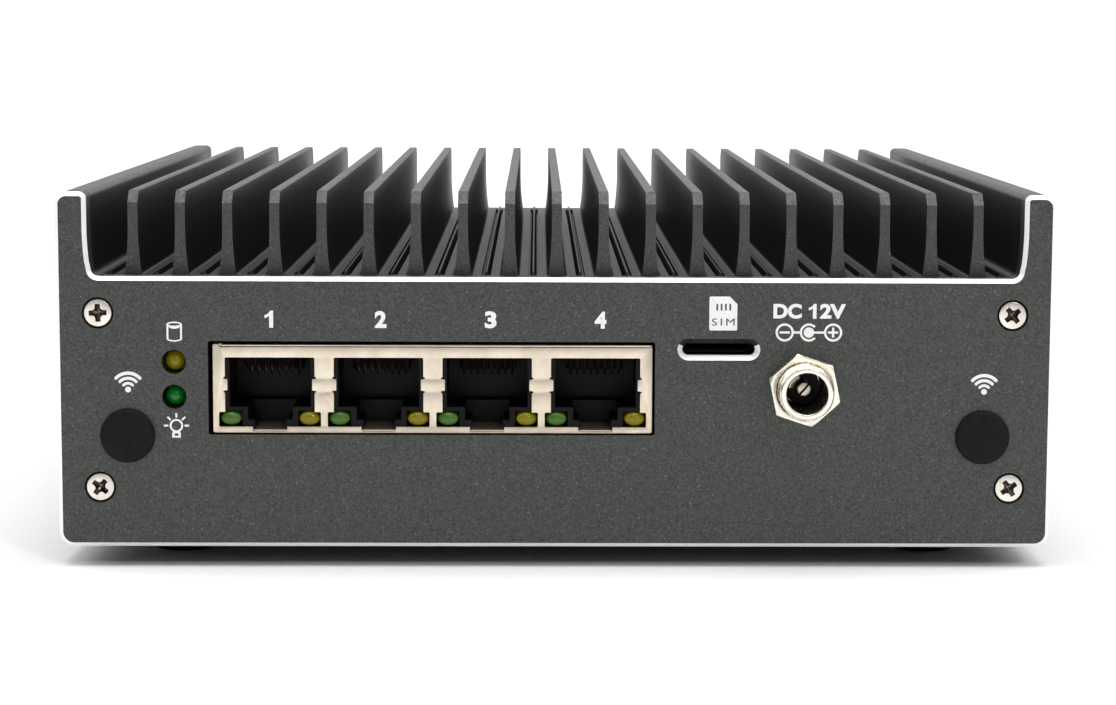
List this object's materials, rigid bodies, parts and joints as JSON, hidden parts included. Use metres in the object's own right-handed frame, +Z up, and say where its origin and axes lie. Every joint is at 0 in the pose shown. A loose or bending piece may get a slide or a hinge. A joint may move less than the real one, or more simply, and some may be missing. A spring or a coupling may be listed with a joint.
{
  "type": "firewall appliance",
  "caption": "Fanless firewall appliance: finned aluminium enclosure with a row of network jacks, a card slot, a threaded power inlet, status lamps and a push button.",
  "frame": {"origin": "middle of the bounding box on the plane that the feet stand on", "axes": "+Z up, the panel with the network jacks faces -Y, +X to the right when that panel is looked at"},
  "size_m": [0.145, 0.1622, 0.0548],
  "materials": {
    "anodised_aluminium": "fine sparkle-blasted dark grey anodising with bright machined chamfers",
    "black_steel": "black powder coat",
    "nickel_screws": "nickel plated",
    "black_rubber": "matt black rubber",
    "tin_plated_shield": "warm tin plate",
    "black_plastic": "matt black moulding",
    "gold_contacts": "gold plated spring wire",
    "green_lens": "tinted epoxy lens, unlit",
    "yellow_lens": "tinted epoxy lens, unlit",
    "nickel_plate": "bright nickel plate",
    "board_laminate": "green solder mask",
    "chip_resin": "moulded epoxy",
    "bare_aluminium": "machined"
  },
  "bodies": {
    "appliance": {"antenna_plug_left": "black_rubber", "antenna_plug_right": "black_rubber", "board_screw_1": "nickel_screws", "board_screw_2": "nickel_screws", "board_screw_3": "nickel_screws", "board_screw_4": "nickel_screws", "bottom_plate": "black_steel", "bottom_screw_1": "nickel_screws", "bottom_screw_2": "nickel_screws", "bottom_screw_3": "nickel_screws", "bottom_screw_4": "nickel_screws", "clock_battery": "nickel_plate", "console_port": "tin_plated_shield", "dc_jack_body": "nickel_plate", "dc_jack_insulator": "black_plastic", "dc_jack_nut": "nickel_plate", "dc_jack_pin": "nickel_plate", "front_panel": "anodised_aluminium", "front_panel_screw_1": "nickel_screws", "front_panel_screw_2": "nickel_screws", "front_panel_screw_3": "nickel_screws", "front_panel_screw_4": "nickel_screws", "heat_spreader_block": "bare_aluminium", "heatsink_shell": "anodised_aluminium", "lan_contacts_1": "gold_contacts", "lan_contacts_2": "gold_contacts", "lan_contacts_3": "gold_contacts", "lan_contacts_4": "gold_contacts", "lan_green_led_1": "green_lens", "lan_green_led_2": "green_lens", "lan_green_led_3": "green_lens", "lan_green_led_4": "green_lens", "lan_jack_housing": "black_plastic", "lan_jack_shield": "tin_plated_shield", "lan_yellow_led_1": "yellow_lens", "lan_yellow_led_2": "yellow_lens", "lan_yellow_led_3": "yellow_lens", "lan_yellow_led_4": "yellow_lens", "main_board": "board_laminate", "memory_module": "board_laminate", "memory_socket": "black_plastic", "power_led": "green_lens", "power_switch": "nickel_plate", "processor_package": "chip_resin", "rear_panel": "anodised_aluminium", "rear_panel_screw_1": "nickel_screws", "rear_panel_screw_2": "nickel_screws", "rear_panel_screw_3": "nickel_screws", "rear_panel_screw_4": "nickel_screws", "rubber_foot_1": "black_rubber", "rubber_foot_2": "black_rubber", "rubber_foot_3": "black_rubber", "rubber_foot_4": "black_rubber", "sim_socket": "tin_plated_shield", "storage_led": "yellow_lens", "storage_module": "board_laminate", "storage_slot": "black_plastic", "usb_port_stack": "tin_plated_shield", "video_port": "tin_plated_shield"},
    "power_button": {"power_button_cap": "black_plastic"}
  },
  "joints": [
    {"name": "power_button_press", "type": "slide", "parent": "appliance", "child": "power_button", "axis": [0, -1, 0], "range_m": [0, 0.0008], "stiffness_N_per_m": 1500}
  ]
}
